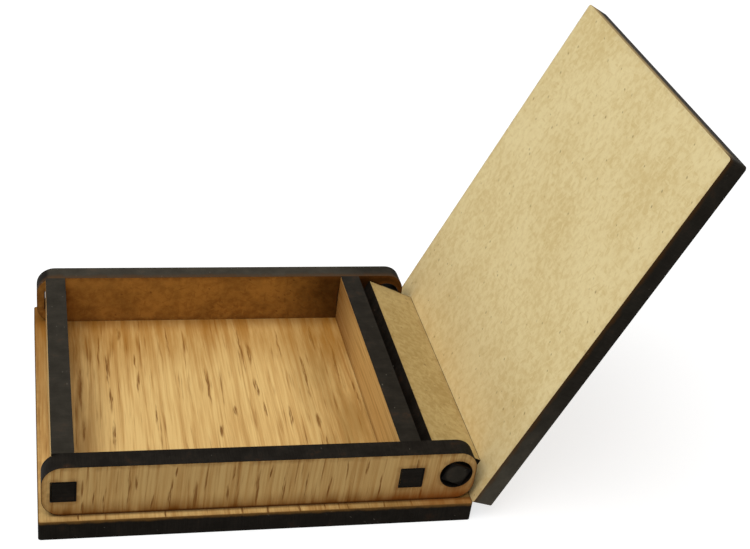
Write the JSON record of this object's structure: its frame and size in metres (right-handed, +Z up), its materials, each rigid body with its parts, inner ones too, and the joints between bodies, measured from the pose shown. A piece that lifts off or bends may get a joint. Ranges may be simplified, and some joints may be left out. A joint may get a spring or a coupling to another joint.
{
  "type": "hinged lid keepsake box",
  "caption": "Shallow keepsake box of thin veneered fibreboard with tenoned walls and a flat lid on a bar that pivots in round holes.",
  "frame": {"origin": "centre of the base's underside, on the surface that the box stands on", "axes": "+Z up, +X along the box from its plain end to its hinge, +Y from front to rear; the lid's hinge axis runs along Y"},
  "size_m": [0.0868, 0.0514, 0.058],
  "materials": {
    "fibreboard": "raw, cut edges charred dark",
    "oak_veneer": "bare fine-grained oak, satin"
  },
  "bodies": {
    "box": {"base_board": "fibreboard", "front_wall_board": "fibreboard", "rear_wall_board": "fibreboard", "left_wall_board": "fibreboard", "right_wall_board": "fibreboard", "base_veneer": "oak_veneer", "front_wall_veneer": "oak_veneer", "rear_wall_veneer": "oak_veneer", "left_wall_veneer": "oak_veneer", "right_wall_veneer": "oak_veneer"},
    "lid": {"hinge_bar_board": "fibreboard", "hinge_bar_veneer": "oak_veneer", "lid_board": "fibreboard", "lid_veneer": "oak_veneer"}
  },
  "joints": [
    {"name": "lid_hinge", "type": "hinge", "parent": "box", "child": "lid", "pos_m": [0.02715, 0, 0.0074], "axis": [0, 1, 0], "range_deg": [-113.74, 0]}
  ]
}
